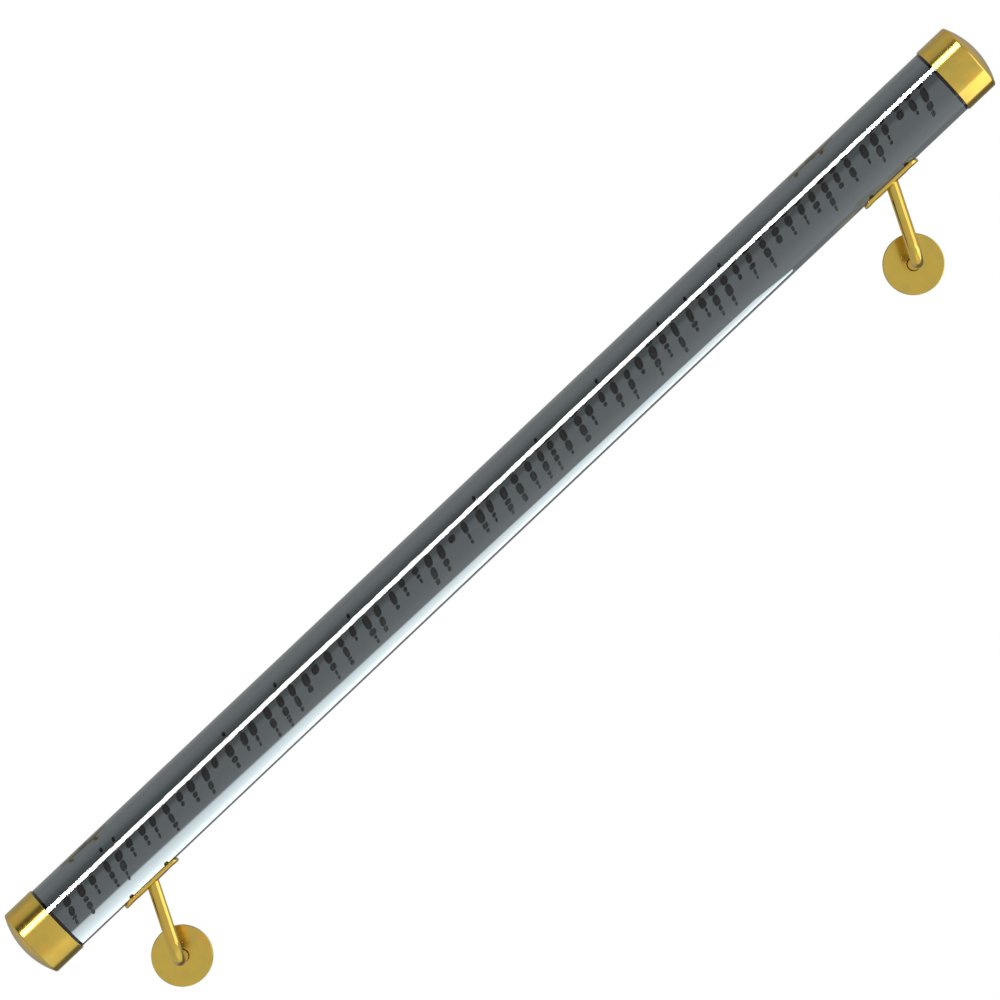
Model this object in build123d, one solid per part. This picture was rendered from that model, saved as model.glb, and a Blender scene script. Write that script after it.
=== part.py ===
from build123d import *
import os
from math import cos, pi, radians, sin, sqrt
from random import Random

# An acrylic stair handrail: a smoke-grey acrylic rod with domed brass end caps, carried by
# two brass wall brackets. Millimetres. +X runs up the stair along the wall, +Z is up, and
# the wall is the plane Y = 0 with the rail in front of it, at -Y. The origin is the centre
# of the lower wall plate's back.
#
# Everything is drawn level, with the rod's axis along X and its underside facing down, and
# turned about the origin to the pitch of the stair when it is written.

# Stair and rod
stair_pitch = 43.4
rod_diameter = 50.0
rod_end_chamfer = 1.5
rod_off_wall = 70.0

# Brackets along the rod, measured between the middles of their saddles, and how far the
# rod runs on past each
bracket_spacing = 680.4
lower_overhang = 85.5
upper_overhang = 95.1

# End caps, turned from bar
cap_wall = 0.8
cap_skirt = 24.0
cap_end_wall = 1.0
cap_dome_rise = 6.5
cap_rim_radius = 1.8
cap_bond_gap = 0.1
cap_end_gap = 0.2

# Saddles, pressed to the rod's curve
saddle_length = 48.0
saddle_width = 17.0
saddle_thickness = 2.5
saddle_corner_radius = 6.0
saddle_bedding_gap = 0.05
saddle_screw_from_end = 8.0

# Arms, bent from round rod
arm_diameter = 9.0
arm_off_plumb = 18.4
arm_drop = 53.7
arm_bend_radius = 14.0
braze_gap = 0.05

# Wall plates, turned
plate_thickness = 3.0
hub_wall = 3.0
hub_floor = 1.2
plate_screw_count = 3

# Cover discs, turned thin
cover_diameter = 42.0
cover_height = 7.0
cover_wall = 0.8
cover_edge_chamfer = 0.6
cover_snap_gap = 0.1
cover_arm_gap = 0.3
cover_hub_gap = 0.6

# Countersunk machine screws through the saddles
machine_screw_diameter = 4.0
machine_screw_head = 7.6
machine_screw_length = 10.0
machine_screw_socket = 2.5
machine_socket_depth = 1.6

# Countersunk wood screws through the wall plates, threaded up to just behind the plate
wood_screw_diameter = 4.2
wood_thread_diameter = 3.7
wood_neck_past_plate = 0.3
wood_screw_head = 8.2
wood_screw_length = 38.0
wood_screw_point = 6.0
wood_screw_slot = 1.1
wood_slot_depth = 1.0

# Holes for both kinds of screw
head_land = 0.3
head_seat_gap = 0.05
shank_gap = 0.2
tapped_gap = 0.05
tapped_hole_spare = 2.0

# Long bubbles cast into the rod, in short slanting strings of one to three. Each spread is
# the most that one bubble differs from its neighbours, and the same draws always come out.
bubble_draw = 11
bubble_pitch = 11.4
bubble_clear_of_cap = 5.0
bubble_clear_of_hole = 1.0
bubble_counts = (1, 1, 2, 2, 3)
bubble_string_top = 4.5
bubble_top_spread = 0.6
bubble_gap = 0.3
bubble_gap_spread = 0.15
bubble_half_width = 2.7
bubble_half_height = 2.5
bubble_half_depth = 1.8
bubble_width_spread = 0.16
bubble_height_spread = 0.32
bubble_width_shrink = 0.12
bubble_height_shrink = 0.25
bubble_drift_along = 1.5
bubble_drift_through = 2.5
bubble_lean = 0.38
bubble_lean_spread = 0.1
speck_share = 0.15
speck_height = 9.0
speck_half_size = 1.2

# Worked out from the above
rod_radius = rod_diameter / 2
arm_radius = arm_diameter / 2
saddle_inner_radius = rod_radius + saddle_bedding_gap
saddle_outer_radius = saddle_inner_radius + saddle_thickness
arm_lean = stair_pitch - arm_off_plumb
saddle_x = arm_drop * sin(radians(arm_lean))
rod_axis_z = arm_drop * cos(radians(arm_lean)) + saddle_outer_radius
rod_length = lower_overhang + bracket_spacing + upper_overhang
rod_low_end_x = saddle_x - lower_overhang
rod_high_end_x = rod_low_end_x + rod_length
cap_inner_radius = rod_radius + cap_bond_gap
cap_outer_radius = cap_inner_radius + cap_wall
saddle_screw_spacing = saddle_length - 2 * saddle_screw_from_end
hub_radius = arm_radius + hub_wall
hub_height = cover_height - cover_wall - cover_hub_gap
plate_radius = cover_diameter / 2 - cover_wall - cover_snap_gap
plate_screw_circle = hub_radius + plate_radius


def turned(outline):
    """Solid turned about X from a closed outline, drawn in X with its radius as Y."""
    return revolve(make_face(outline), Axis.X)


def end_cap():
    """Cup along X with a low spherical end; the flat bottom of its bore is at X = 0."""
    shoulder = (cap_end_wall, cap_outer_radius)
    crown = (cap_end_wall + cap_dome_rise, 0)
    mouth_x = cap_end_wall - cap_skirt
    dome_radius = (cap_outer_radius**2 + cap_dome_rise**2) / (2 * cap_dome_rise)
    sides = Polyline(
        crown, (0, 0), (0, cap_inner_radius), (mouth_x, cap_inner_radius),
        (mouth_x, cap_outer_radius), shoulder,
    )
    face = make_face(sides + RadiusArc(shoulder, crown, dome_radius))
    corner = face.vertices().sort_by_distance((*shoulder, 0))[0]
    return revolve(fillet(corner, cap_rim_radius), Axis.X)


def countersunk(shank_radius, head_radius, length):
    """Round body along +Z with its head's face at Z = 0 and a right-angled cone under it."""
    cone_end = head_land + head_radius - shank_radius
    outline = Polyline(
        (0, 0), (0, head_radius), (head_land, head_radius), (cone_end, shank_radius),
        (length, shank_radius), (length, 0), close=True,
    )
    return Rot(0, -90, 0) * turned(outline)


def countersunk_hole(shank_diameter, head_diameter, length):
    """Cutter for a screw's hole, with room above the head for the tool."""
    head_radius = head_diameter / 2 + head_seat_gap
    hole = countersunk(shank_diameter / 2 + shank_gap, head_radius, length)
    room = Cylinder(head_radius, length, align=(Align.CENTER, Align.CENTER, Align.MAX))
    return hole + room


def machine_screw():
    body = countersunk(
        machine_screw_diameter / 2, machine_screw_head / 2, machine_screw_length
    )
    socket = extrude(
        RegularPolygon(machine_screw_socket / 2, 6, major_radius=False),
        machine_socket_depth,
    )
    return body - socket


def wood_screw():
    """Slotted wood screw whose thread is a plain cylinder between its crest and its root."""
    base = (Align.CENTER, Align.CENTER, Align.MIN)
    thread_radius = wood_thread_diameter / 2
    neck_end = plate_thickness + wood_neck_past_plate
    thread_end = wood_screw_length - wood_screw_point
    body = countersunk(wood_screw_diameter / 2, wood_screw_head / 2, neck_end)
    body += Pos(0, 0, neck_end) * Cylinder(thread_radius, thread_end - neck_end, align=base)
    body += Pos(0, 0, thread_end) * Cone(thread_radius, 0, wood_screw_point, align=base)
    return body - Box(wood_screw_head * 2, wood_screw_slot, wood_slot_depth, align=base)


def along_x(radius, length, x):
    """Cylinder on the rod's axis, starting at x."""
    return Pos(x + length / 2, -rod_off_wall, rod_axis_z) * Rot(0, 90, 0) * Cylinder(radius, length)


def bubble(centre, half_width, half_height, half_depth, lean):
    """One trapped bubble as a twenty-sided hollow, poles up and down, leaning along X."""
    ring_radius = 2 / sqrt(5)
    ring_height = 1 / sqrt(5)

    def point(radius, turn, height):
        return Vector(
            centre.X + half_width * radius * cos(turn) + lean * half_height * height,
            centre.Y + half_depth * radius * sin(turn),
            centre.Z + half_height * height,
        )

    fifth = 2 * pi / 5
    top = point(0, 0, 1)
    bottom = point(0, 0, -1)
    upper = [point(ring_radius, fifth * i, ring_height) for i in range(5)]
    lower = [point(ring_radius, fifth * (i + 0.5), -ring_height) for i in range(5)]
    corners = []
    for i in range(5):
        j = (i + 1) % 5
        corners.append((top, upper[i], upper[j]))
        corners.append((upper[i], lower[i], upper[j]))
        corners.append((lower[i], lower[j], upper[j]))
        corners.append((bottom, lower[j], lower[i]))
    sides = [Face(Wire.make_polygon(three, close=True)) for three in corners]
    return Solid(Shell(sides))


def bubbles(tapped_holes):
    """Strings of bubbles along the middle of the rod, and a few specks above them."""
    draw = Random(bubble_draw)

    def either_way(spread):
        return draw.uniform(-spread, spread)

    margin = cap_skirt + bubble_clear_of_cap + bubble_pitch / 2
    count = int((rod_length - 2 * margin) / bubble_pitch) + 1
    first_x = rod_low_end_x + (rod_length - (count - 1) * bubble_pitch) / 2
    found = []
    for i in range(count):
        x = first_x + i * bubble_pitch + either_way(bubble_drift_along)
        y = -rod_off_wall + either_way(bubble_drift_through)
        lean = bubble_lean + either_way(bubble_lean_spread)
        string_top = rod_axis_z + bubble_string_top + either_way(bubble_top_spread)
        top = string_top
        for step in range(draw.choice(bubble_counts)):
            width = 1 - bubble_width_shrink * step + either_way(bubble_width_spread)
            height = 1 - bubble_height_shrink * step + either_way(bubble_height_spread)
            half_height = bubble_half_height * height
            centre_z = top - half_height
            centre = Vector(x + lean * (centre_z - string_top), y, centre_z)
            found.append(
                bubble(
                    centre, bubble_half_width * width, half_height,
                    bubble_half_depth * width, lean,
                )
            )
            top -= 2 * half_height + bubble_gap + either_way(bubble_gap_spread)
        if draw.random() < speck_share:
            centre = Vector(x + bubble_pitch / 3, y, rod_axis_z + speck_height)
            found.append(bubble(centre, *[speck_half_size] * 3, lean))
    return [one for one in found if clear_of(one, tapped_holes)]


def clear_of(piece, holes):
    return all(piece.distance_to(hole) > bubble_clear_of_hole for hole in holes)


def saddle_places(x):
    """Where the machine screws of a saddle at x start: their heads' faces, under the rod."""
    head_face = saddle_outer_radius - sqrt(saddle_outer_radius**2 - (machine_screw_head / 2) ** 2)
    z = rod_axis_z - saddle_outer_radius + head_face
    return [
        Pos(x + side * saddle_screw_spacing / 2, -rod_off_wall, z) for side in (-1, 1)
    ]


def saddle(x):
    """Curved plate under the rod with rounded corners and two countersunk holes."""
    shell = along_x(saddle_outer_radius, saddle_length, x - saddle_length / 2)
    shell -= along_x(saddle_inner_radius, saddle_length, x - saddle_length / 2)
    blank = extrude(
        RectangleRounded(saddle_length, saddle_width, saddle_corner_radius),
        saddle_outer_radius,
    )
    plate = shell & Pos(x, -rod_off_wall, rod_axis_z - saddle_outer_radius) * blank
    hole = countersunk_hole(machine_screw_diameter, machine_screw_head, saddle_thickness * 2)
    for place in saddle_places(x):
        plate -= place * hole
    return plate


def rod(saddle_xs):
    body = along_x(rod_radius, rod_length, rod_low_end_x)
    body = chamfer(body.edges().filter_by(GeomType.CIRCLE), rod_end_chamfer)
    tapped = Cylinder(
        machine_screw_diameter / 2 + tapped_gap, machine_screw_length + tapped_hole_spare,
        align=(Align.CENTER, Align.CENTER, Align.MIN),
    )
    holes = [place * tapped for x in saddle_xs for place in saddle_places(x)]
    return body - holes - bubbles(holes)


def arm(x):
    """Round rod from the saddle's underside down its lean, then back into the wall plate."""
    down = Vector(-sin(radians(arm_lean)), 0, -cos(radians(arm_lean)))
    corner = Vector(x, -rod_off_wall, 0)
    top = corner - down * (arm_drop + saddle_thickness)
    wall_end = Vector(x, -hub_floor - braze_gap, 0)
    path = FilletPolyline(top, corner, wall_end, radius=arm_bend_radius)
    section = Plane(top, z_dir=down) * Circle(arm_radius)
    stem = sweep(section, path)
    seat = along_x(saddle_outer_radius + braze_gap, saddle_length * 2, x - saddle_length)
    return stem - seat


def out_of_wall(x):
    """Place for a round piece drawn with Z as its height above the wall."""
    return Pos(x, 0, 0) * Rot(90, 0, 0)


def plate_screw_places():
    """Heads' faces of the wood screws, on the plate's front, the first straight above the hub."""
    return [
        Rot(0, 0, 90 - stair_pitch + 360 * i / plate_screw_count)
        * Pos(plate_screw_circle / 2, 0, plate_thickness)
        * Rot(180, 0, 0)
        for i in range(plate_screw_count)
    ]


def wall_plate():
    base = (Align.CENTER, Align.CENTER, Align.MIN)
    plate = Cylinder(plate_radius, plate_thickness, align=base)
    plate += Cylinder(hub_radius, hub_height, align=base)
    socket = Cylinder(arm_radius + braze_gap, hub_height, align=base)
    plate -= Pos(0, 0, hub_floor) * socket
    hole = countersunk_hole(wood_screw_diameter, wood_screw_head, plate_thickness * 2)
    for place in plate_screw_places():
        plate -= place * hole
    return plate


def cover_disc():
    base = (Align.CENTER, Align.CENTER, Align.MIN)
    outer = Cylinder(cover_diameter / 2, cover_height, align=base)
    front = outer.edges().sort_by(Axis.Z)[-1]
    outer = chamfer(front, cover_edge_chamfer)
    inner = Cylinder(cover_diameter / 2 - cover_wall, cover_height - cover_wall, align=base)
    hole = Cylinder(arm_radius + cover_arm_gap, cover_height * 2, align=base)
    return outer - inner - hole


def write(node, piece):
    export_step(Rot(0, -stair_pitch, 0) * piece, os.path.join("parts", node + ".step"))


os.makedirs("parts", exist_ok=True)

foot_xs = {"lower": 0.0, "upper": bracket_spacing}
write("acrylic_rail", rod([x + saddle_x for x in foot_xs.values()]))

axis_height = Pos(0, -rod_off_wall, rod_axis_z)
upper_place = Pos(rod_high_end_x + cap_end_gap, 0, 0)
lower_place = Pos(rod_low_end_x - cap_end_gap, 0, 0) * Rot(0, 0, 180)
write("upper_end_cap", axis_height * upper_place * end_cap())
write("lower_end_cap", axis_height * lower_place * end_cap())

for side, foot_x in foot_xs.items():
    write(side + "_saddle", saddle(foot_x + saddle_x))
    for number, place in enumerate(saddle_places(foot_x + saddle_x), start=1):
        write(f"{side}_saddle_screw_{number}", place * machine_screw())
    write(side + "_arm", arm(foot_x))
    write(side + "_wall_plate", out_of_wall(foot_x) * wall_plate())
    for number, place in enumerate(plate_screw_places(), start=1):
        write(f"{side}_wall_screw_{number}", out_of_wall(foot_x) * place * wood_screw())
    write(side + "_cover_disc", out_of_wall(foot_x) * cover_disc())
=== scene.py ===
import bmesh
import bpy
from collections import namedtuple
from math import atan2, cos, pi, radians, sin, sqrt, tan
from mathutils import Matrix, Vector
from random import Random


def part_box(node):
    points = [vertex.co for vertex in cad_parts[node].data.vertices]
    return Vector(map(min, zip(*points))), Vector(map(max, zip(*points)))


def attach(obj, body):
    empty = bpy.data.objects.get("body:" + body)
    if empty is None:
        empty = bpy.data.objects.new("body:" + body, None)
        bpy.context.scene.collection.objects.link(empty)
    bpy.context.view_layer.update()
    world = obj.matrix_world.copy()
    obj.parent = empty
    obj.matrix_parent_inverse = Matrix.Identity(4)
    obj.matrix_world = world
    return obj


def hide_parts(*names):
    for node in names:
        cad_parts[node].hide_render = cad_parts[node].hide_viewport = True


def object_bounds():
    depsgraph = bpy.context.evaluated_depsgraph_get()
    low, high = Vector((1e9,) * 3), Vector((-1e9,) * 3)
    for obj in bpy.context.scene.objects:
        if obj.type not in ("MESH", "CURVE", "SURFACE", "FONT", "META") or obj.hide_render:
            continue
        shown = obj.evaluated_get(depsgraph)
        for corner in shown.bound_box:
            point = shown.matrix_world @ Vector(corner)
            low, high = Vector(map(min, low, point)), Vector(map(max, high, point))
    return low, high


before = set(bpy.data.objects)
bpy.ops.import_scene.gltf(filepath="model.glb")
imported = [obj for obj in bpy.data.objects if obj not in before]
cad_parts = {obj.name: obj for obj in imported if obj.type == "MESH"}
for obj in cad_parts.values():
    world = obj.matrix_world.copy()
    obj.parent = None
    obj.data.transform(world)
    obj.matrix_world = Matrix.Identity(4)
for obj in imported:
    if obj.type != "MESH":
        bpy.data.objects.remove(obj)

cad_low, cad_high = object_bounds()

# The rod is one length of cast acrylic, tinted smoke grey through its whole thickness. Its
# ends are turned square with a small chamfer, and it is flame polished, which leaves a
# hard, clear gloss without a scratch.

mm = 0.001
# Points closer together than the first are one. Edges sharper than the second stay crisp.
weld = 0.001 * mm
crisp_edge_angle = radians(35)


def middle(node):
    """Middle of a CAD node's box."""
    low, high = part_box(node)
    return (low + high) / 2


# The pieces are drawn level, with the rod along X, and turned to the pitch of the stair.
uphill = (middle("upper_wall_plate") - middle("lower_wall_plate")).normalized()
pitch = atan2(uphill.z, uphill.x)
from_level = Matrix.Rotation(-pitch, 4, "Y")
to_level = from_level.inverted()
along = Vector((1, 0, 0))


def level_box(node):
    """Lowest and highest corner of a CAD node once the stair's pitch is turned level."""
    corners = [to_level @ v.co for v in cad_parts[node].data.vertices]
    low = Vector([min(c[i] for c in corners) for i in range(3)])
    high = Vector([max(c[i] for c in corners) for i in range(3)])
    return low, high


def spun(outline, start, axis, facets):
    """Mesh turned about an axis, from points of distance along it and radius."""
    side = axis.orthogonal().normalized()
    bm = bmesh.new()
    line = [bm.verts.new(start + axis * x + side * radius) for x, radius in outline]
    edges = [bm.edges.new(pair) for pair in zip(line, line[1:])]
    bmesh.ops.spin(
        bm, geom=line + edges, cent=start, axis=axis, angle=2 * pi, steps=facets,
        use_merge=True,
    )
    bmesh.ops.remove_doubles(bm, verts=bm.verts, dist=weld)
    bmesh.ops.recalc_face_normals(bm, faces=bm.faces)
    return bm


def placed(name, bm, material):
    """Object of a finished mesh in one material, linked to the scene."""
    mesh = bpy.data.meshes.new(name)
    bm.to_mesh(mesh)
    bm.free()
    mesh.materials.append(material)
    made = bpy.data.objects.new(name, mesh)
    bpy.context.scene.collection.objects.link(made)
    return made


def stand(name, bm, material, nodes=()):
    """Makes a piece of a level mesh, on the root body, in place of the CAD nodes."""
    piece = placed(name, bm, material)
    mesh = piece.data
    mesh.transform(from_level)
    mesh.polygons.foreach_set("use_smooth", [True] * len(mesh.polygons))
    mesh.set_sharp_from_angle(angle=crisp_edge_angle)
    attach(piece, "root")
    if nodes:
        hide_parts(*nodes)
    return piece


def linear(colour):
    """An sRGB hex colour as linear red, green, blue and an alpha of 1."""
    parts = [int(colour[i:i + 2], 16) / 255 for i in (1, 3, 5)]
    return [c / 12.92 if c <= 0.04045 else ((c + 0.055) / 1.055) ** 2.4 for c in parts] + [1]


def add(tree, kind, inputs=None, **settings):
    """Adds a node; its inputs take values, or the output sockets that feed them."""
    made = tree.nodes.new(kind)
    for name, value in settings.items():
        setattr(made, name, value)
    for name, value in (inputs or {}).items():
        if isinstance(value, bpy.types.NodeSocket):
            tree.links.new(value, made.inputs[name])
        else:
            made.inputs[name].default_value = value
    return made


def finish_with(name):
    """A new material with an empty node tree."""
    material = bpy.data.materials.new(name)
    material.use_nodes = True
    material.node_tree.nodes.clear()
    return material, material.node_tree


# Smoke acrylic: IOR 1.49, and a grey tint that lets about a tenth of the light through
# 50 mm. Flame polishing melts the skin smooth, so its gloss is as sharp as glass.
smoke_tint = "#9CA5A8"
smoke_density = 75.0
acrylic_ior = 1.49

smoke_acrylic, tree = finish_with("polished_smoke_acrylic")
surface = add(
    tree, "ShaderNodeBsdfPrincipled",
    {
        "Base Color": (1, 1, 1, 1), "IOR": acrylic_ior, "Transmission Weight": 1.0,
        "Roughness": 0.0,
    },
)
tint = add(
    tree, "ShaderNodeVolumeAbsorption",
    {"Color": linear(smoke_tint), "Density": smoke_density},
)
add(
    tree, "ShaderNodeOutputMaterial",
    {"Surface": surface.outputs["BSDF"], "Volume": tint.outputs["Volume"]},
)

rod_chamfer = 1.5 * mm
rod_facets = 256
rod_low, rod_high = level_box("acrylic_rail")
rod_middle = (rod_low + rod_high) / 2
rod_radius = (rod_high.y - rod_low.y) / 2
rod_start = Vector((rod_low.x, rod_middle.y, rod_middle.z))
rod_length = rod_high.x - rod_low.x
rod_outline = [
    (0, 0), (0, rod_radius - rod_chamfer),
    (rod_chamfer, rod_radius), (rod_length - rod_chamfer, rod_radius),
    (rod_length, rod_radius - rod_chamfer), (rod_length, 0),
]
bm = spun(rod_outline, rod_start, along, rod_facets)
rod = stand("acrylic_rod", bm, smoke_acrylic, ["acrylic_rail"])

# The bubbles are air that was trapped in the acrylic when it was cast, in strings that lean
# along the rod. Each sits in its own hollow of the solid rod. Its matt skin carries painted
# shade, so that it looks dark.

# Painted shade on the skin, by height over the rod's middle: nearly black at the heads of the
# strings, paler further down as a painted reflection of the wall, and a little paler at the top.
bubble_painted_shades = (
    (-9.0 * mm, "#7C8183"), (1.5 * mm, "#060708"), (6.5 * mm, "#060708"), (8.0 * mm, "#3C3F41"),
)
bubble_roughness = 0.35
bubble_specular = 0.1


def level_place(tree):
    """Object coordinates turned level, so that X runs along the rod."""
    place = add(tree, "ShaderNodeTexCoord").outputs["Object"]
    turned = add(tree, "ShaderNodeMapping", {"Vector": place, "Rotation": (0, pitch, 0)})
    return turned.outputs["Vector"]


def set_stops(ramp, stops):
    """Gives a colour ramp its stops, each a position and a linear colour."""
    elements = ramp.color_ramp.elements
    while len(elements) < len(stops):
        elements.new(0.5)
    for element, (position, colour) in zip(elements, stops):
        element.position = position
        element.color = colour


# The bubble skin's colour is painted shade and painted reflection, set by height in the rod.
air_with_painted_shade, tree = finish_with("bubble_skin_in_acrylic")
shade_from, shade_to = bubble_painted_shades[0][0], bubble_painted_shades[-1][0]
height_in_rod = add(
    tree, "ShaderNodeSeparateXYZ", {"Vector": level_place(tree)},
).outputs["Z"]
share = add(
    tree, "ShaderNodeMapRange",
    {
        "Value": height_in_rod, "From Min": rod_middle.z + shade_from,
        "From Max": rod_middle.z + shade_to,
    },
).outputs["Result"]
skin = add(tree, "ShaderNodeValToRGB", {"Fac": share})
set_stops(skin, [
    ((above - shade_from) / (shade_to - shade_from), linear(colour))
    for above, colour in bubble_painted_shades
])
surface = add(
    tree, "ShaderNodeBsdfPrincipled",
    {
        "Base Color": skin.outputs["Color"], "Roughness": bubble_roughness,
        "Specular IOR Level": bubble_specular,
    },
)
add(tree, "ShaderNodeOutputMaterial", {"Surface": surface.outputs["BSDF"]})

# Each hollow in the solid rod is a ball of 20 flat faces. It has 12 corners, and all but
# its two poles stand on rings a little narrower than the ball.
hollow_corners = 12
hollow_ring = 2 / sqrt(5)

Bubble = namedtuple("Bubble", "centre width depth height lean")


def cad_copy(node):
    """Mesh of a CAD node, welded and turned level."""
    bm = bmesh.new()
    bm.from_mesh(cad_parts[node].data)
    bmesh.ops.remove_doubles(bm, verts=bm.verts, dist=weld)
    bmesh.ops.transform(bm, matrix=to_level, verts=bm.verts)
    bmesh.ops.recalc_face_normals(bm, faces=bm.faces)
    return bm


def shells(bm):
    """Sets of vertices that edges join, one for each closed shell of a mesh."""
    unseen = set(bm.verts)
    found = []
    while unseen:
        shell = {unseen.pop()}
        to_visit = list(shell)
        while to_visit:
            vert = to_visit.pop()
            fresh = {edge.other_vert(vert) for edge in vert.link_edges} & unseen
            unseen -= fresh
            shell |= fresh
            to_visit += fresh
        found.append(shell)
    return found


def bubble_in(hollow):
    """The bubble that fills a hollow, from the hollow's corners."""
    bottom = min(hollow, key=lambda v: v.co.z).co
    top = max(hollow, key=lambda v: v.co.z).co
    centre = (bottom + top) / 2
    height = top.z - bottom.z
    lean = (top.x - bottom.x) / height
    width = 2 * max(abs(v.co.x - centre.x - lean * (v.co.z - centre.z)) for v in hollow)
    depth = 2 * max(abs(v.co.y - centre.y) for v in hollow)
    return Bubble(centre, width / hollow_ring, depth / hollow_ring, height, lean)


cad_rod = cad_copy("acrylic_rail")
bubbles = [bubble_in(shell) for shell in shells(cad_rod) if len(shell) == hollow_corners]
bubbles.sort(key=lambda bubble: bubble.centre.x)
cad_rod.free()

# Many strings end below in one or two finer bubbles, their tail, and most of those that
# reach high carry a flatter one, their crown. The solid rod leaves both out. The specks
# over the strings have neither.
specks_above = 6 * mm
string_reach = 8 * mm
bubble_gap = 0.25 * mm
size_spread = 0.25
crown_above = 3.5 * mm
crown_share = 0.85
crown_height = 2.1 * mm
crown_width = 5.4 * mm
tail_counts = (0, 1, 1, 2, 2)
tail_lowest = -9.5 * mm
tail_height = 2.7 * mm
tail_width = 3.2 * mm
tail_shrink = 0.85
crown_draw = Random(5)
tail_draw = Random(3)


def on_string(bubble, z):
    """The point at height z on the leaning line through a bubble."""
    centre = bubble.centre
    return Vector((centre.x + bubble.lean * (z - centre.z), centre.y, z))


def is_lowest(bubble):
    """Whether no other bubble of its string lies under a bubble."""
    return not any(
        0 < bubble.centre.z - other.centre.z < string_reach
        and abs(other.centre.x - on_string(bubble, other.centre.z).x) < bubble.width / 2
        for other in bubbles
    )


def varied(size, draw):
    """A size that differs a little from bubble to bubble."""
    return size * draw.uniform(1 - size_spread, 1 + size_spread)


fine_bubbles = []
for bubble in bubbles:
    centre, _, _, height, lean = bubble
    if centre.z > rod_middle.z + specks_above:
        continue
    top = centre.z + height / 2
    if top > rod_middle.z + crown_above and crown_draw.random() < crown_share:
        tall = varied(crown_height, crown_draw)
        wide = varied(crown_width, crown_draw)
        spot = on_string(bubble, top + bubble_gap + tall / 2)
        fine_bubbles.append(Bubble(spot, wide, wide / 2, tall, lean))
    if not is_lowest(bubble):
        continue
    bottom = centre.z - height / 2
    shrink = 1.0
    for _ in range(tail_draw.choice(tail_counts)):
        shrink *= tail_shrink
        tall = varied(tail_height * shrink, tail_draw)
        wide = varied(tail_width * shrink, tail_draw)
        z = bottom - bubble_gap - tall / 2
        if z < rod_middle.z + tail_lowest:
            break
        fine_bubbles.append(Bubble(on_string(bubble, z), wide, wide, tall, lean))
        bottom = z - tall / 2

ball_bluntness = 2.7
bubble_fineness = 3
fine_bubble_fineness = 2


def add_ball(bm, bubble, fineness):
    """Adds a blunt ball with a bubble's place, size and lean to a mesh."""
    ball = bmesh.ops.create_icosphere(bm, subdivisions=fineness, radius=0.5)["verts"]
    for vert in ball:
        up, out = abs(2 * vert.co.z), 2 * vert.co.xy.length
        vert.co /= (up**ball_bluntness + out**ball_bluntness) ** (1 / ball_bluntness)
    centre, width, depth, height, lean = bubble
    shape = Matrix((
        (width, 0, lean * height, centre.x), (0, depth, 0, centre.y),
        (0, 0, height, centre.z), (0, 0, 0, 1),
    ))
    bmesh.ops.transform(bm, matrix=shape, verts=ball)


bm = bmesh.new()
for bubble in bubbles:
    add_ball(bm, bubble, bubble_fineness)
for bubble in fine_bubbles:
    add_ball(bm, bubble, fine_bubble_fineness)
stand("cast_in_bubbles", bm, air_with_painted_shade)

# The end caps are turned from brass bar: a thin skirt that slips over the rod, and a low
# domed end with a small round at its shoulder. They are bonded on and polished all over.

# Polished brass, unlacquered. Its finishing leaves fine lines, and the yellow drifts a
# little toward orange over patches of some 15 mm, and toward olive over smaller ones.
brass_yellow = "#DBBC57"
brass_patches = (("#E2B450", 15 * mm), ("#CDB65A", 9.375 * mm))
patch_from = 0.45
patch_full = 0.75
wheel_line_spacing = 0.25 * mm
wheel_line_length = 12 * mm
polish_line_depth = 0.0004 * mm
# Most of a noise lies between these two values.
noise_low = 0.3
noise_high = 0.7


def streaks(tree, size_along, size_across):
    """Noise whose grains have one size along the rod and another across it."""
    scale = (1 / size_along, 1 / size_across, 1 / size_across)
    stretched = add(
        tree, "ShaderNodeMapping", {"Vector": level_place(tree), "Scale": scale},
    ).outputs["Vector"]
    return add(
        tree, "ShaderNodeTexNoise", {"Vector": stretched, "Scale": 1.0, "Detail": 2.0},
    ).outputs["Fac"]


def rings(tree):
    """Fine rings about a turned piece's axis, from its UV map, drawn in metres."""
    about_axis = add(tree, "ShaderNodeUVMap", uv_map="about_axis").outputs["UV"]
    radius = add(
        tree, "ShaderNodeVectorMath", {0: about_axis}, operation="LENGTH",
    ).outputs["Value"]
    return add(
        tree, "ShaderNodeTexNoise",
        {"W": radius, "Scale": 1 / wheel_line_spacing, "Detail": 2.0}, noise_dimensions="1D",
    ).outputs["Fac"]


def brass(name, roughness, line_depth, line_size=None, patch_strength=1.0):
    """Solid brass with the fine lines of its finishing, from mirror bright to satin.

    The lines have a size along the rod and one across it. Where none is given, they run in
    rings about the piece's own axis.
    """
    material, tree = finish_with(name)
    place = level_place(tree)
    colour = linear(brass_yellow)
    for patch_colour, patch_size in brass_patches:
        patches = add(
            tree, "ShaderNodeTexNoise",
            {"Vector": place, "Scale": 1 / patch_size, "Detail": 1.0},
        ).outputs["Fac"]
        patched = add(
            tree, "ShaderNodeMapRange",
            {
                "Value": patches, "From Min": patch_from, "From Max": patch_full,
                "To Max": patch_strength,
            },
        ).outputs["Result"]
        colour = add(
            tree, "ShaderNodeMix",
            {"Factor": patched, "A": colour, "B": linear(patch_colour)}, data_type="RGBA",
        ).outputs["Result"]
    lines = streaks(tree, *line_size) if line_size else rings(tree)
    bump = add(
        tree, "ShaderNodeBump",
        {"Height": lines, "Strength": 1.0, "Distance": line_depth},
    ).outputs["Normal"]
    smoothest, roughest = roughness
    gloss = add(
        tree, "ShaderNodeMapRange",
        {
            "Value": lines, "From Min": noise_low, "From Max": noise_high,
            "To Min": smoothest, "To Max": roughest,
        },
    ).outputs["Result"]
    surface = add(
        tree, "ShaderNodeBsdfPrincipled",
        {"Base Color": colour, "Metallic": 1.0, "Normal": bump, "Roughness": gloss},
    )
    add(tree, "ShaderNodeOutputMaterial", {"Surface": surface.outputs["BSDF"]})
    return material


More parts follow.
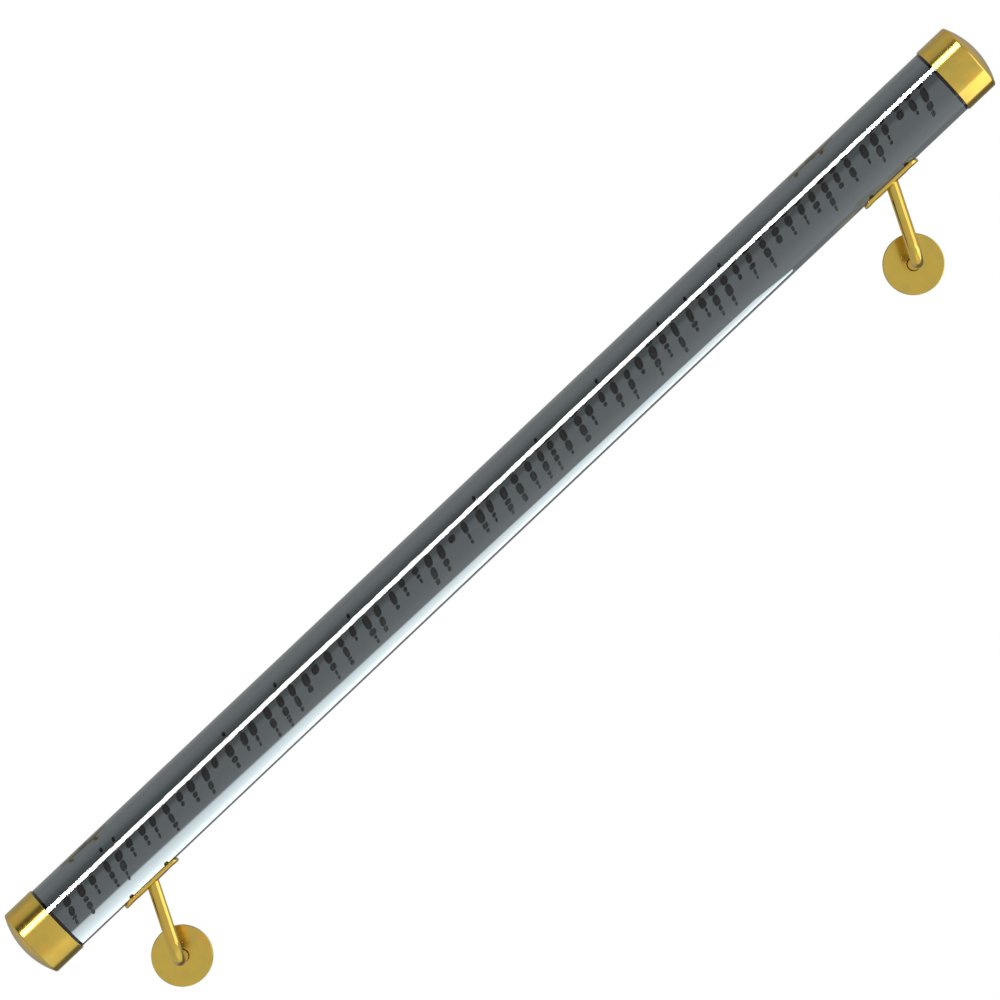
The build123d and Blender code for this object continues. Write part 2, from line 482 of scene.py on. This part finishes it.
def arc(centre, radius, start, end, steps):
    """Points of an arc in an outline of distance along the axis and radius."""
    angles = [start + (end - start) * i / steps for i in range(steps + 1)]
    return [(centre[0] + radius * cos(a), centre[1] + radius * sin(a)) for a in angles]


cap_brass = brass(
    "wheel_polished_brass_round_rod", roughness=(0.1, 0.17), line_depth=polish_line_depth,
    line_size=(wheel_line_spacing, wheel_line_length),
)
cap_wall = 0.8 * mm
cap_end_wall = 1.0 * mm
cap_dome_rise = 6.5 * mm
cap_rim_radius = 1.8 * mm
cap_mouth_round = 0.15 * mm
cap_facets = 128
rim_steps = 10
dome_steps = 24

caps = []
for name, outward in (("lower_end_cap", -1), ("upper_end_cap", 1)):
    low, high = level_box(name)
    outer = (high.y - low.y) / 2
    length = high.x - low.x
    mouth = Vector((low.x if outward > 0 else high.x, rod_middle.y, rod_middle.z))
    bore = outer - cap_wall
    bore_end = length - cap_dome_rise - cap_end_wall
    dome_radius = (outer**2 + cap_dome_rise**2) / (2 * cap_dome_rise)
    dome_centre = length - dome_radius
    rim_height = outer - cap_rim_radius
    rim_centre = dome_centre + sqrt((dome_radius - cap_rim_radius) ** 2 - rim_height**2)
    dome_edge = atan2(rim_height, rim_centre - dome_centre)
    rim = arc((rim_centre, rim_height), cap_rim_radius, pi / 2, dome_edge, rim_steps)
    dome = arc((dome_centre, 0), dome_radius, dome_edge, 0, dome_steps)
    outline = [
        (bore_end, 0), (bore_end, bore), (0, bore), (0, outer - cap_mouth_round),
        (cap_mouth_round, outer), (2 * cap_mouth_round, outer),
        (rim_centre - cap_mouth_round, outer),
    ] + rim + dome[1:]
    bm = spun(outline, mouth, along * outward, cap_facets)
    caps.append(stand(name + "_turned", bm, cap_brass, [name]))

# The saddles are short brass plates pressed to the rod's curve, with rounded corners and
# two countersunk holes. Their outline is rounded over nearly to a half circle and polished.

saddle_brass = brass(
    "wheel_polished_brass_along_rod", roughness=(0.07, 0.14), line_depth=polish_line_depth,
    line_size=(wheel_line_length, wheel_line_spacing),
)
saddle_edge_round = 1.1 * mm
saddle_round_steps = 6
saddle_hole_clear = 5.2 * mm
# Faces that meet at less than the first angle are merged. Edges sharper than the second
# are rounded, save those of the screw holes.
saddle_flat_angle = radians(0.5)
saddle_edge_angle = radians(50)


def level_middle(node):
    """Middle of a CAD node's box once the stair's pitch is turned level."""
    low, high = level_box(node)
    return (low + high) / 2


saddles = []
for side in ("lower", "upper"):
    holes = [level_middle(f"{side}_saddle_screw_{number}") for number in (1, 2)]
    bm = cad_copy(side + "_saddle")
    bmesh.ops.dissolve_limit(
        bm, angle_limit=saddle_flat_angle, verts=bm.verts, edges=bm.edges, delimit=set(),
    )
    outline = [
        edge for edge in bm.edges
        if edge.calc_face_angle(0) > saddle_edge_angle and all(
            (vert.co.xy - hole.xy).length > saddle_hole_clear
            for vert in edge.verts for hole in holes
        )
    ]
    bmesh.ops.bevel(
        bm, geom=outline, offset=saddle_edge_round, offset_type="OFFSET", affect="EDGES",
        segments=saddle_round_steps, profile=0.5, material=-1, clamp_overlap=False,
    )
    saddles.append(
        stand(side + "_saddle_pressed", bm, saddle_brass, [side + "_saddle"])
    )

# The saddle screws are countersunk brass machine screws with a hexagon socket, driven up
# through the saddle into tapped holes in the rod. They come turned, with a satin face.

screw_brass = brass(
    "satin_screw_brass", roughness=(0.2, 0.32), line_depth=0.0008 * mm,
    line_size=(wheel_line_spacing, wheel_line_spacing), patch_strength=0.5,
)
machine_thread_start = 2.6 * mm
machine_thread_pitch = 0.7 * mm
machine_core = 1.62 * mm
machine_crest = 2.0 * mm
thread_steps = 24
# The ridge's half width and the height it keeps at its ends are shares of the thread's
# pitch and height. Its foot lies a little inside the core.
ridge_half_width = 0.36
ridge_end_height = 0.1
ridge_foot = 0.97
# The ridge is at least this many turns shorter than the length that is cut.
turns_left_off = 1.2


def threaded(bm, head, axis, start, length, thread_pitch, core, crest, point=0.0):
    """Thins the end of a screw to its core and winds a ridge round it.

    The thread starts at a depth under the head's face, and its ridge runs out at both
    ends. A pointed screw narrows over its last stretch, and the ridge narrows with it.
    """
    bmesh.ops.bisect_plane(
        bm, geom=bm.verts[:] + bm.edges[:] + bm.faces[:], plane_co=head + axis * start,
        plane_no=axis, dist=weld / 10,
    )

    def around(vert):
        """Depth of a vertex under the head's face, and its way out from the axis."""
        depth = (vert.co - head).dot(axis)
        return depth, vert.co - head - axis * depth

    def taper(depth):
        """Share of its full thickness that the screw has at a depth."""
        return min(1.0, (length - depth) / point) if point else 1.0

    for vert in bm.verts:
        depth, out = around(vert)
        thickness = core * taper(depth)
        if depth > start - weld and out.length > thickness:
            vert.co -= out * (1 - thickness / out.length)

    turns = int((length - start) / thread_pitch - turns_left_off)
    first = start + thread_pitch / 2
    last = first + turns * thread_pitch
    foot = core * ridge_foot
    half_width = ridge_half_width * thread_pitch
    profile = [(-half_width, foot), (0.0, crest), (half_width, foot)]
    side = axis.orthogonal().normalized()
    ridge = bmesh.new()
    line = [ridge.verts.new(head + axis * (first + x) + side * r) for x, r in profile]
    edges = [ridge.edges.new(pair) for pair in zip(line, line[1:])]
    bmesh.ops.spin(
        ridge, geom=line + edges, cent=head, axis=axis,
        dvec=axis * (thread_pitch / thread_steps), angle=2 * pi * turns,
        steps=thread_steps * turns, use_merge=False,
    )
    for vert in ridge.verts:
        depth, out = around(vert)
        height = out.length
        if height > foot + weld:
            run_out = min(depth - first, last - depth) / thread_pitch + ridge_end_height
            height = foot + (height - foot) * max(0.0, min(1.0, run_out))
        vert.co += out * (height * taper(depth) / out.length - 1)
    bmesh.ops.recalc_face_normals(ridge, faces=ridge.faces)
    wound = bpy.data.meshes.new("thread")
    ridge.to_mesh(wound)
    ridge.free()
    bm.from_mesh(wound)
    bpy.data.meshes.remove(wound)
    return bm


for side in ("lower", "upper"):
    for number in (1, 2):
        node = f"{side}_saddle_screw_{number}"
        low, high = level_box(node)
        head = Vector(((low.x + high.x) / 2, (low.y + high.y) / 2, low.z))
        bm = threaded(
            cad_copy(node), head, Vector((0, 0, 1)), machine_thread_start, high.z - low.z,
            machine_thread_pitch, machine_core, machine_crest,
        )
        stand(node + "_turned", bm, screw_brass, [node])

# The arms are 9 mm round brass rod. Each is brazed to its saddle, leans down from it, bends
# square in one sweep toward the wall, and is brazed into the hub of its wall plate.

# Hand polishing with a cloth crosses its own strokes, so its fine lines are short.
hand_line_length = 3 * mm
arm_brass = brass(
    "hand_polished_brass", roughness=(0.07, 0.14), line_depth=polish_line_depth,
    line_size=(wheel_line_spacing, hand_line_length),
)
arm_radius = 4.5 * mm
arm_bend_radius = 14 * mm
arm_facets = 64
bend_steps = 24
braze_gap = 0.05 * mm
off_wall = Vector((0, -1, 0))


def ring_edges(bm, ring):
    """Edges that join the vertices of a ring."""
    ring = set(ring)
    return [edge for edge in bm.edges if edge.verts[0] in ring and edge.verts[1] in ring]


def verts_of(geometry):
    """The vertices among what an operator made."""
    return [part for part in geometry if isinstance(part, bmesh.types.BMVert)]


def onward(bm, ring, move):
    """Extrudes a tube's last ring of vertices and moves the new one."""
    made = bmesh.ops.extrude_edge_only(bm, edges=ring_edges(bm, ring))["geom"]
    fresh = verts_of(made)
    bmesh.ops.translate(bm, verts=fresh, vec=move)
    return fresh


for side in ("lower", "upper"):
    foot = level_middle(side + "_wall_plate")
    saddle_low, saddle_high = level_box(side + "_saddle")
    arm_low, arm_high = level_box(side + "_arm")
    up = Vector(((saddle_low.x + saddle_high.x) / 2 - foot.x, 0, saddle_low.z - foot.z))
    drop = up.length
    up.normalize()
    wall_end = Vector((foot.x, arm_high.y, foot.z))
    corner = Vector((foot.x, rod_middle.y, foot.z))
    bm = bmesh.new()
    wall_ring = bmesh.ops.create_circle(
        bm, cap_ends=False, segments=arm_facets, radius=arm_radius,
        matrix=Matrix.Translation(wall_end) @ Matrix.Rotation(pi / 2, 4, "X"),
    )["verts"]
    to_bend = wall_end.y - corner.y - arm_bend_radius
    ring = onward(bm, wall_ring, off_wall * to_bend)
    made = bmesh.ops.spin(
        bm, geom=ring + ring_edges(bm, ring), axis=off_wall.cross(up), angle=pi / 2,
        cent=corner - off_wall * arm_bend_radius + up * arm_bend_radius, steps=bend_steps,
        use_merge=False,
    )["geom_last"]
    top_ring = onward(bm, verts_of(made), up * (drop - arm_bend_radius))
    # The top is cut to the saddle's curve.
    saddle_radius = rod_middle.z - saddle_low.z + braze_gap
    for vert in top_ring:
        across = vert.co.y - rod_middle.y
        top = rod_middle.z - sqrt(saddle_radius**2 - across**2)
        vert.co += up * ((top - vert.co.z) / up.z)
    for ring in (wall_ring, top_ring):
        bmesh.ops.edgeloop_fill(bm, edges=ring_edges(bm, ring))
    bmesh.ops.recalc_face_normals(bm, faces=bm.faces)
    stand(side + "_arm_bent", bm, arm_brass, [side + "_arm"])

# The wall plates are turned brass flanges with a hub for the arm. Three wood screws hold
# each to the wall. They are left as turned, for the cover discs hide them.

turned_brass = brass(
    "satin_turned_brass", roughness=(0.18, 0.32), line_depth=0.0015 * mm, patch_strength=0.6,
)


def map_about_axis(bm, centre):
    """UV map of a piece turned about Y: metres across and up from its axis."""
    layer = bm.loops.layers.uv.new("about_axis")
    for face in bm.faces:
        for loop in face.loops:
            loop[layer].uv = (loop.vert.co.x - centre.x, loop.vert.co.z - centre.z)
    return bm


for side in ("lower", "upper"):
    node = side + "_wall_plate"
    bm = map_about_axis(cad_copy(node), level_middle(node))
    stand(node + "_turned", bm, turned_brass, [node])

# The wall screws are slotted, countersunk brass wood screws, with a cut thread that starts
# just behind the plate and runs out at the gimlet point.

wood_thread_start = 3.8 * mm
wood_thread_pitch = 1.8 * mm
wood_core = 1.45 * mm
wood_crest = 2.05 * mm
wood_point = 6.0 * mm

for side in ("lower", "upper"):
    for number in (1, 2, 3):
        node = f"{side}_wall_screw_{number}"
        low, high = level_box(node)
        head = Vector(((low.x + high.x) / 2, low.y, (low.z + high.z) / 2))
        bm = threaded(
            cad_copy(node), head, Vector((0, 1, 0)), wood_thread_start, high.y - low.y,
            wood_thread_pitch, wood_core, wood_crest, wood_point,
        )
        stand(node + "_cut", bm, screw_brass, [node])

# The cover discs are thin brass cups turned from bar, pushed over the wall plates to hide
# the screws, with a hole that the arm comes through and a softened front edge.

# The wheel is held against the disc while it turns, which leaves its lines in rings.
disc_brass = brass(
    "wheel_polished_brass_in_rings", roughness=(0.09, 0.15), line_depth=0.0003 * mm,
)
cover_wall = 0.8 * mm
cover_edge_round = 0.6 * mm
cover_round_steps = 6
cover_hole = 4.8 * mm
cover_hole_round = 0.15 * mm
cover_facets = 160
# A narrow flat band beside each round keeps the shading of the face even.
cover_band = 0.2 * mm

for side in ("lower", "upper"):
    node = side + "_cover_disc"
    low, high = level_box(node)
    centre = (low + high) / 2
    outer = (high.x - low.x) / 2
    height = high.y - low.y
    round_centre = (height - cover_edge_round, outer - cover_edge_round)
    outline = [
        (height - cover_wall, cover_hole), (height - cover_wall, outer - cover_wall),
        (0, outer - cover_wall), (0, outer), (round_centre[0] - cover_band, outer),
    ] + arc(round_centre, cover_edge_round, pi / 2, 0, cover_round_steps) + [
        (height, round_centre[1] - cover_band),
        (height, cover_hole + cover_hole_round + cover_band),
        (height, cover_hole + cover_hole_round), (height - cover_hole_round, cover_hole),
        (height - cover_wall, cover_hole),
    ]
    start = Vector((centre.x, high.y, centre.z))
    bm = map_about_axis(spun(outline, start, off_wall, cover_facets), centre)
    stand(node + "_turned", bm, disc_brass, [node])

# The studio has a pale, matt floor well below the rail. Polished metal and the rod don't
# see it, for the room's walls are what shows in them.

floor_drop = 0.9
floor_size = 16.0
floor_colour = "#F0F0EE"
floor_roughness = 0.9
floor_specular = 0.1

studio_floor, tree = finish_with("pale_studio_floor")
surface = add(
    tree, "ShaderNodeBsdfPrincipled",
    {
        "Base Color": linear(floor_colour), "Roughness": floor_roughness,
        "Specular IOR Level": floor_specular,
    },
)
add(tree, "ShaderNodeOutputMaterial", {"Surface": surface.outputs["BSDF"]})
rail_centre = middle("acrylic_rail")
bm = bmesh.new()
bmesh.ops.create_grid(bm, x_segments=1, y_segments=1, size=floor_size / 2)
bmesh.ops.translate(bm, verts=bm.verts, vec=(rail_centre.x, 0, cad_low.z - floor_drop))
floor = placed("floor", bm, studio_floor)
floor.visible_glossy = False
floor.visible_transmission = False

# The room round the rail is plain white to the camera and to matt surfaces. Polished metal
# and the rod see more in it: pale and dark walls, like the cards and cloths that stand
# round a shiny thing when it is photographed.

# Levels of the walls at angles round the rail, in degrees from the camera's side up over
# the rail to the back.
room_in_metal = (
    (-180, 0.4), (-140, 0.15), (-122, 0.2), (-112, 0.8), (-70, 1.0), (-45, 0.75),
    (-20, 0.7), (12, 0.68), (30, 0.6), (40, 0.3), (54, 0.08), (66, 0.12), (76, 0.5),
    (100, 0.6), (125, 0.45), (180, 0.4),
)
# Toward either end of the rail the metal sees a plain wall. The change to it lies between
# these two parts of a unit direction that run along the rail.
end_wall_level = 0.6
end_wall_from = 0.4
end_wall_full = 0.75
# The rod lets through a white back wall with a soft grey card low on it.
wall_through_rod = (
    (-180, 1.0), (-177, 0.9), (-174, 0.5), (-162, 0.56), (-154, 0.78), (-145, 0.88),
    (-134, 0.78), (-110, 1.0), (180, 1.0),
)


def round_rail(tree, share, levels):
    """Walls whose level changes over the whole turn round the rail."""
    ramp = add(tree, "ShaderNodeValToRGB", {"Fac": share})
    set_stops(ramp, [((degrees + 180) / 360, [level] * 3 + [1]) for degrees, level in levels])
    return add(
        tree, "ShaderNodeBackground", {"Color": ramp.outputs["Color"], "Strength": 1.0},
    ).outputs["Background"]


world = bpy.data.worlds.new("studio_room")
bpy.context.scene.world = world
world.use_nodes = True
tree = world.node_tree
tree.nodes.clear()
direction = add(tree, "ShaderNodeTexCoord").outputs["Generated"]
turned = add(tree, "ShaderNodeMapping", {"Vector": direction, "Rotation": (0, pitch, 0)})
parts = add(tree, "ShaderNodeSeparateXYZ", {"Vector": turned.outputs["Vector"]}).outputs
to_camera = add(
    tree, "ShaderNodeMath", {0: parts["Y"], 1: -1.0}, operation="MULTIPLY",
).outputs["Value"]
angle = add(
    tree, "ShaderNodeMath", {0: parts["Z"], 1: to_camera}, operation="ARCTAN2",
).outputs["Value"]
share = add(
    tree, "ShaderNodeMapRange", {"Value": angle, "From Min": -pi, "From Max": pi},
).outputs["Result"]
white = add(tree, "ShaderNodeBackground", {"Color": (1, 1, 1, 1), "Strength": 1.0})
end_walls = add(
    tree, "ShaderNodeBackground", {"Color": (1, 1, 1, 1), "Strength": end_wall_level},
)
toward_end = add(tree, "ShaderNodeMath", {0: parts["X"]}, operation="ABSOLUTE")
end_share = add(
    tree, "ShaderNodeMapRange",
    {
        "Value": toward_end.outputs["Value"], "From Min": end_wall_from,
        "From Max": end_wall_full,
    },
)
room = add(
    tree, "ShaderNodeMixShader",
    {
        0: end_share.outputs["Result"], 1: round_rail(tree, share, room_in_metal),
        2: end_walls.outputs["Background"],
    },
)
rays = add(tree, "ShaderNodeLightPath").outputs
in_metal = add(
    tree, "ShaderNodeMixShader",
    {0: rays["Is Glossy Ray"], 1: white.outputs["Background"], 2: room.outputs["Shader"]},
)
through_rod = add(
    tree, "ShaderNodeMixShader",
    {
        0: rays["Is Transmission Ray"], 1: in_metal.outputs["Shader"],
        2: round_rail(tree, share, wall_through_rod),
    },
)
add(tree, "ShaderNodeOutputWorld", {"Surface": through_rod.outputs["Shader"]})

# A long strip light over the camera's side draws the white line along rod, caps and
# saddles. Two softer panels, below the upper end and to the right, brighten the brass.

strip_angle = 43.5
strip_distance = 1.6
strip_slant = 17.0
strip_size = (1.7, 0.38)
strip_radiance_on_rod = 34.0
strip_radiance_on_brass = 9.0
low_panel_angle = -88
low_panel_distance = 0.6
low_panel_along = 0.698
low_panel_size = (0.5, 0.6)
right_panel_place = Vector((1.75, -0.95, 0.8))
right_panel_turn = 55
right_panel_size = (1.6, 2.4)
panel_radiance = 1.0


def facing_rail(degrees, distance, along_rail=0.0, slant=0.0):
    """Place of a lamp that faces the rail, at an angle round it, 0 at the camera's side."""
    outward = Vector((0, -cos(radians(degrees)), sin(radians(degrees))))
    spot = rod_middle + along * along_rail + outward * distance
    turn = Matrix((along, outward.cross(along), outward)).transposed().to_4x4()
    return from_level @ Matrix.Translation(spot) @ turn @ Matrix.Rotation(radians(slant), 4, "Z")


def panel(name, place, size, radiance):
    """Area lamp of one radiance, seen itself only in mirrors."""
    length, width = size
    lamp = bpy.data.lights.new(name, "AREA")
    lamp.shape = "RECTANGLE"
    lamp.size = length
    lamp.size_y = width
    lamp.energy = radiance * length * width * pi
    made = bpy.data.objects.new(name, lamp)
    bpy.context.scene.collection.objects.link(made)
    made.matrix_world = place
    made.visible_camera = False
    made.visible_diffuse = False
    made.visible_transmission = False
    return made


# Clear acrylic reflects a twenty-fifth of what brass does, so the strip has one lamp for
# the rod and a dimmer one in the same place for the caps and saddles.
strip_place = facing_rail(strip_angle, strip_distance, slant=strip_slant)
for name, radiance, lit in (
    ("strip_light_on_rod", strip_radiance_on_rod, [rod]),
    ("strip_light_on_brass", strip_radiance_on_brass, caps + saddles),
):
    strip = panel(name, strip_place, strip_size, radiance)
    receivers = bpy.data.collections.new(name)
    for piece in lit:
        receivers.objects.link(piece)
    strip.light_linking.receiver_collection = receivers
low_place = facing_rail(low_panel_angle, low_panel_distance, low_panel_along)
panel("low_panel", low_place, low_panel_size, panel_radiance)
right_place = (
    Matrix.Translation(rail_centre + right_panel_place)
    @ Matrix.Rotation(radians(right_panel_turn), 4, "Z") @ Matrix.Rotation(pi / 2, 4, "X")
)
panel("right_panel", right_place, right_panel_size, panel_radiance)

# The back panel stands behind the rod and is seen only through it. Its lower edge slants,
# and it ends short of the upper bracket: the pale band along the rod's underside.

back_panel_distance = 0.8
back_panel_angle = 40.0
# Places along the rail, each with the panel's lower and upper edge as angles over level.
back_panel_edges = (
    (-0.30, 18.0, 62.0), (-0.02, 20.5, 62.0), (0.612, 38.0, 60.0), (0.65, 50.0, 58.0),
)
# Shares of the way from the lower edge to the upper, each with its radiance.
back_panel_glow = ((0.0, 0.5), (0.08, 5.0), (0.5, 6.5), (1.0, 11.0))

glowing_panel, tree = finish_with("glowing_panel")
glow = add(
    tree, "ShaderNodeEmission",
    {
        "Color": (1, 1, 1, 1),
        "Strength": add(tree, "ShaderNodeAttribute", attribute_name="glow").outputs["Fac"],
    },
)
add(tree, "ShaderNodeOutputMaterial", {"Surface": glow.outputs["Emission"]})
centre_line = radians(180 - back_panel_angle)
outward = Vector((0, -cos(centre_line), sin(centre_line)))
steeper = Vector((0, -sin(centre_line), -cos(centre_line)))
bm = bmesh.new()
glow_layer = bm.verts.layers.float.new("glow")
rows = []
for share_up, radiance in back_panel_glow:
    row = []
    for x, low_edge, high_edge in back_panel_edges:
        steep = tan(radians(low_edge + (high_edge - low_edge) * share_up - back_panel_angle))
        spot = Vector((x, rod_middle.y, rod_middle.z))
        row.append(bm.verts.new(spot + back_panel_distance * (outward + steeper * steep)))
        row[-1][glow_layer] = radiance
    rows.append(row)
for near, far in zip(rows, rows[1:]):
    for i in range(len(near) - 1):
        bm.faces.new((near[i], near[i + 1], far[i + 1], far[i]))
back_panel = placed("back_panel", bm, glowing_panel)
back_panel.data.transform(from_level)
back_panel.visible_camera = False
back_panel.visible_diffuse = False
back_panel.visible_glossy = False
back_panel.visible_shadow = False

# The camera stands 6 m in front of the rail and looks square at the wall. Its long lens
# fills the frame from cap to cap.

camera_distance = 6.0
camera_lens = 323.0
camera_film = 36.0
camera_reach = 100.0

camera_data = bpy.data.cameras.new("camera")
camera_data.lens = camera_lens
camera_data.sensor_width = camera_film
camera_data.clip_end = camera_reach
camera = bpy.data.objects.new("camera", camera_data)
bpy.context.scene.collection.objects.link(camera)
camera.location = rail_centre - Vector((0, camera_distance, 0))
camera.rotation_euler = (pi / 2, 0, 0)
bpy.context.scene.camera = camera
bpy.context.scene.view_settings.view_transform = "Standard"
